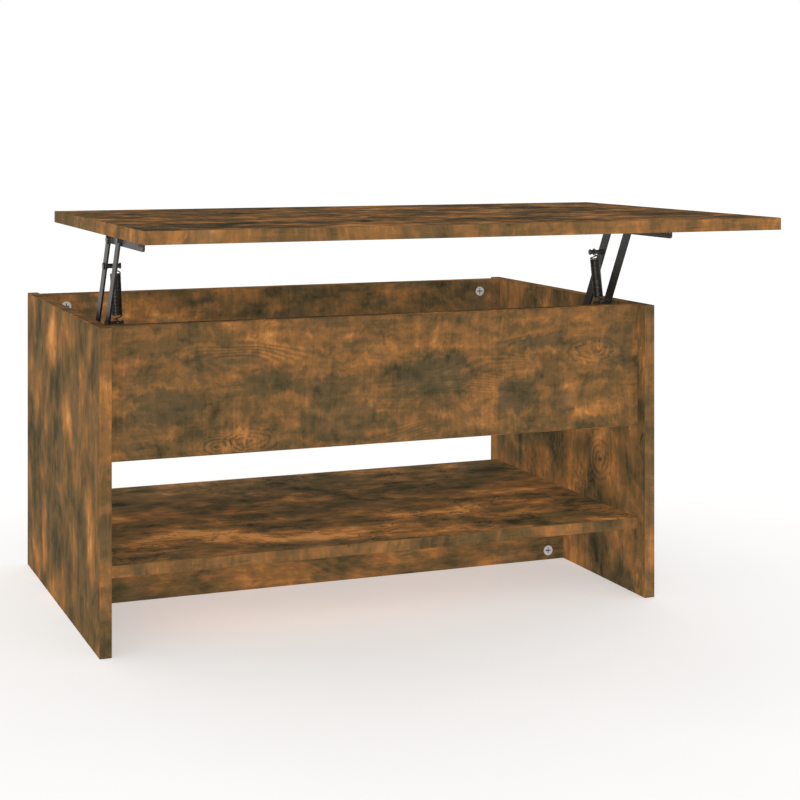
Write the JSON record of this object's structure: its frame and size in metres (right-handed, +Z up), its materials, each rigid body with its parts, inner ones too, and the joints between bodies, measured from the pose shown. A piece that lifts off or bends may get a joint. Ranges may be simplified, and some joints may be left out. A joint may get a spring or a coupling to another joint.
{
  "type": "lift top coffee table",
  "caption": "Low panel coffee table with an open shelf and a lid that lifts and slides forward on two sprung arm linkages over a storage compartment.",
  "frame": {"origin": "on the floor, at the centre of the footprint of the base", "axes": "+X to the right, +Z up, -Y to the front, where the lid rises towards the sitter"},
  "size_m": [0.8, 0.776, 0.5365],
  "materials": {
    "board": "matt smoked-oak melamine",
    "edge_band": "smoked-oak edge band",
    "beech": "plain beech",
    "zinc": "die-cast zinc",
    "plated_steel": "zinc-plated steel",
    "dark_pin": "black satin",
    "spring_steel": "oiled black spring wire",
    "black_steel": "black satin powder coat"
  },
  "bodies": {
    "base": {"left_side_panel": "board", "right_side_panel": "board", "left_side_edge_bands": "edge_band", "right_side_edge_bands": "edge_band", "front_panel": "board", "front_panel_edge_bands": "edge_band", "back_panel": "board", "back_panel_edge_bands": "edge_band", "compartment_floor": "board", "shelf": "board", "shelf_edge_bands": "edge_band", "stretcher": "board", "cam_locks": "zinc", "cam_bolts": "plated_steel", "dowels": "beech", "left_lower_bracket": "black_steel", "left_lower_pivots": "dark_pin", "left_lower_washers": "plated_steel", "left_lower_bracket_screws": "plated_steel", "right_lower_bracket": "black_steel", "right_lower_pivots": "dark_pin", "right_lower_washers": "plated_steel", "right_lower_bracket_screws": "plated_steel"},
    "lid": {"lid": "board", "lid_edge_bands": "edge_band", "left_upper_bracket": "black_steel", "left_upper_pivots": "dark_pin", "left_upper_washers": "plated_steel", "left_upper_bracket_screws": "plated_steel", "right_upper_bracket": "black_steel", "right_upper_pivots": "dark_pin", "right_upper_washers": "plated_steel", "right_upper_bracket_screws": "plated_steel"},
    "right_rear_arm": {"right_rear_arm": "black_steel", "right_rear_spring_stud": "dark_pin"},
    "right_front_arm": {"right_front_arm": "black_steel", "right_front_spring_stud": "dark_pin"},
    "right_spring": {"right_spring": "spring_steel"},
    "right_spring_hook": {"right_spring_hook": "spring_steel"},
    "left_rear_arm": {"left_rear_arm": "black_steel", "left_rear_spring_stud": "dark_pin"},
    "left_front_arm": {"left_front_arm": "black_steel", "left_front_spring_stud": "dark_pin"},
    "left_spring": {"left_spring": "spring_steel"},
    "left_spring_hook": {"left_spring_hook": "spring_steel"}
  },
  "joints": [
    {"name": "right_rear_arm_pivot", "type": "hinge", "parent": "base", "child": "right_rear_arm", "pos_m": [0.35875, -0.07924, 0.34495], "axis": [-1, 0, 0], "range_deg": [0, 106.3]},
    {"name": "left_rear_arm_pivot", "type": "hinge", "parent": "base", "child": "left_rear_arm", "pos_m": [-0.35875, -0.07924, 0.34495], "axis": [-1, 0, 0], "range_deg": [0, 106.3]},
    {"name": "right_front_arm_pivot", "type": "hinge", "parent": "base", "child": "right_front_arm", "pos_m": [0.35875, -0.13709, 0.34995], "axis": [-1, 0, 0], "range_deg": [0, 106.3]},
    {"name": "left_front_arm_pivot", "type": "hinge", "parent": "base", "child": "left_front_arm", "pos_m": [-0.35875, -0.13709, 0.34995], "axis": [-1, 0, 0], "range_deg": [0, 106.3]},
    {"name": "lid_pivot", "type": "hinge", "parent": "right_rear_arm", "child": "lid", "pos_m": [0.35875, -0.17045, 0.5055], "axis": [-1, 0, 0], "range_deg": [-106.3, 0]},
    {"name": "right_spring_pivot", "type": "hinge", "parent": "right_front_arm", "child": "right_spring", "pos_m": [0.346, -0.16495, 0.39899], "axis": [-1, 0, 0], "range_deg": [-33.51, 0], "deforming": ["right_spring"]},
    {"name": "right_spring_stretch", "type": "slide", "parent": "right_spring", "child": "right_spring_hook", "axis": [0, 0.1928, 0.9812], "range_m": [0, 0.07147], "deforming": ["right_spring_hook"]},
    {"name": "left_spring_pivot", "type": "hinge", "parent": "left_front_arm", "child": "left_spring", "pos_m": [-0.346, -0.16495, 0.39899], "axis": [-1, 0, 0], "range_deg": [-33.51, 0], "deforming": ["left_spring"]},
    {"name": "left_spring_stretch", "type": "slide", "parent": "left_spring", "child": "left_spring_hook", "axis": [0, 0.1928, 0.9812], "range_m": [0, 0.07147], "deforming": ["left_spring_hook"]}
  ],
  "couplings": [
    {"joint": "left_rear_arm_pivot", "follows": "right_rear_arm_pivot", "ratio": 1},
    {"joint": "right_front_arm_pivot", "follows": "right_rear_arm_pivot", "ratio": 1},
    {"joint": "left_front_arm_pivot", "follows": "right_rear_arm_pivot", "ratio": 1},
    {"joint": "lid_pivot", "follows": "right_rear_arm_pivot", "ratio": -1},
    {"joint": "right_spring_pivot", "follows": "right_rear_arm_pivot", "ratio": -0.31519},
    {"joint": "right_spring_stretch", "follows": "right_rear_arm_pivot", "m_per_rad": 0.038521},
    {"joint": "left_spring_pivot", "follows": "right_rear_arm_pivot", "ratio": -0.31519},
    {"joint": "left_spring_stretch", "follows": "right_rear_arm_pivot", "m_per_rad": 0.038521}
  ]
}
